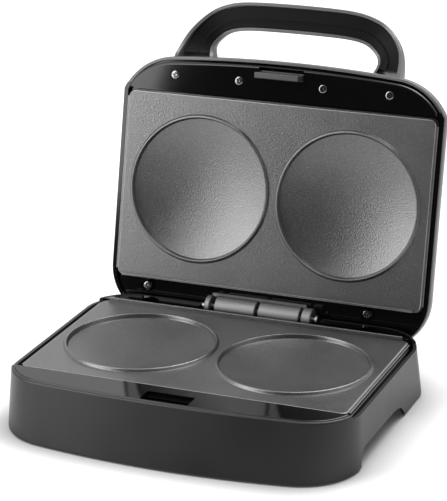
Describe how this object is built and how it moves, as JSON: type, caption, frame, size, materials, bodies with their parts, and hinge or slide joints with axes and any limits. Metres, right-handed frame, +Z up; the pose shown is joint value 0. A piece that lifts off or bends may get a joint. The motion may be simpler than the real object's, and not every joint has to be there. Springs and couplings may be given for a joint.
{
  "type": "double round contact cooker",
  "caption": "Electric countertop cooker with a hinged lid and loop handle, whose facing plates bake rounds of dough in ringed shallow dishes.",
  "frame": {"origin": "middle of the standing product's box, on the table, with the lid open as at rest", "axes": "+X to the user's right, -Y to the front where the handle comes down, +Z up"},
  "size_m": [0.2606, 0.2888, 0.2591],
  "materials": {
    "charcoal": "satin charcoal moulding",
    "gloss_black": "gloss black moulding",
    "nonstick": "speckled dark grey non-stick coating on cast aluminium",
    "silver": "silver-grey satin lacquer on plastic",
    "black": "fine matt black moulding",
    "steel": "bright plated steel",
    "rubber": "matt rubber",
    "ceramic": "unglazed steatite, weighed as plastic",
    "red_lens": "translucent red lens",
    "green_lens": "translucent green lens"
  },
  "bodies": {
    "base": {"base_housing": "charcoal", "base_frame": "gloss_black", "lower_plate": "nonstick", "lower_heating_element": "steel", "lower_heat_reflector": "steel", "bottom_cover": "black", "front_left_foot": "rubber", "front_right_foot": "rubber", "rear_left_foot": "rubber", "rear_right_foot": "rubber", "cover_screw_1": "steel", "cover_screw_2": "steel", "cover_screw_3": "steel", "cover_screw_4": "steel", "recess_screw_left": "steel", "recess_screw_right": "steel", "thermostat": "ceramic", "thermal_fuse": "steel", "terminal_block": "ceramic", "cord_bushing": "black", "base_hinge_leaf": "steel", "hinge_pin": "steel", "base_hinge_screw_1": "steel", "base_hinge_screw_2": "steel"},
    "lid": {"lid_shell": "silver", "lid_frame": "gloss_black", "upper_plate": "nonstick", "upper_heating_element": "steel", "upper_heat_reflector": "steel", "handle_liner": "black", "deck_screw_left_1": "steel", "deck_screw_right_1": "steel", "deck_screw_left_2": "steel", "deck_screw_right_2": "steel", "boss_screw_left": "steel", "boss_screw_right": "steel", "lid_hinge_leaf": "steel", "lid_hinge_screw_1": "steel", "lid_hinge_screw_2": "steel", "latch_spring": "steel", "power_lamp": "red_lens", "ready_lamp": "green_lens"},
    "latch": {"latch_tongue": "steel"}
  },
  "joints": [
    {"name": "lid_hinge", "type": "hinge", "parent": "base", "child": "lid", "pos_m": [0, 0.05586, 0.04256], "axis": [1, 0, 0], "range_deg": [0, 102.24]},
    {"name": "latch_slide", "type": "slide", "parent": "lid", "child": "latch", "axis": [0, 0.212, 0.9773], "range_m": [0, 0.003], "deforming": ["latch_spring"]}
  ]
}
